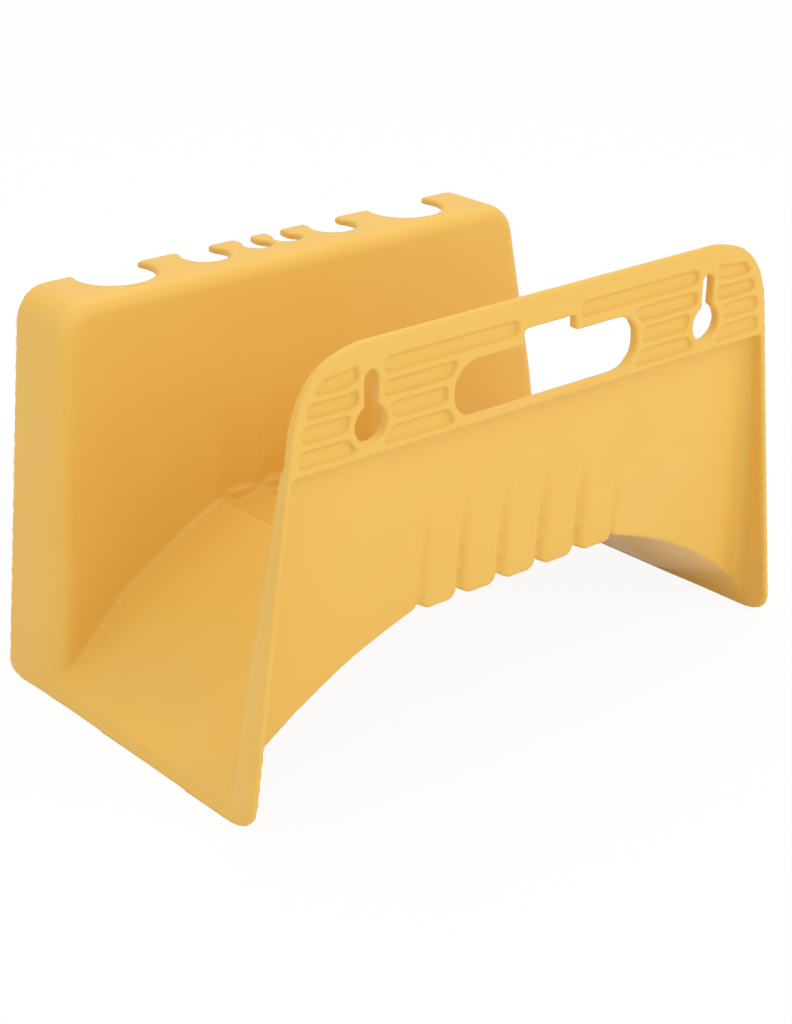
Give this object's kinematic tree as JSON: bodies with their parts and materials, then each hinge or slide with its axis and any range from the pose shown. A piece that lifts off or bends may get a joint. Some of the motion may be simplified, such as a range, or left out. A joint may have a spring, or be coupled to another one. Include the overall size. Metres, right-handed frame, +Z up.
{
  "type": "hose hanger",
  "caption": "Wall-mounted hose hanger with a ribbed keyhole band, an arched fluted saddle and a front tray whose shelf is notched for fittings.",
  "frame": {"origin": "in the wall plane, midway between the centres of the two keyhole heads", "axes": "+X along the hanger's width, to the left for a viewer who faces the wall, +Y into the wall, +Z up"},
  "size_m": [0.28, 0.1759, 0.1745],
  "materials": {
    "moulding": "satin moulded polypropylene, yellow-orange"
  },
  "bodies": {
    "root": {"hose_hanger": "moulding"}
  },
  "joints": []
}
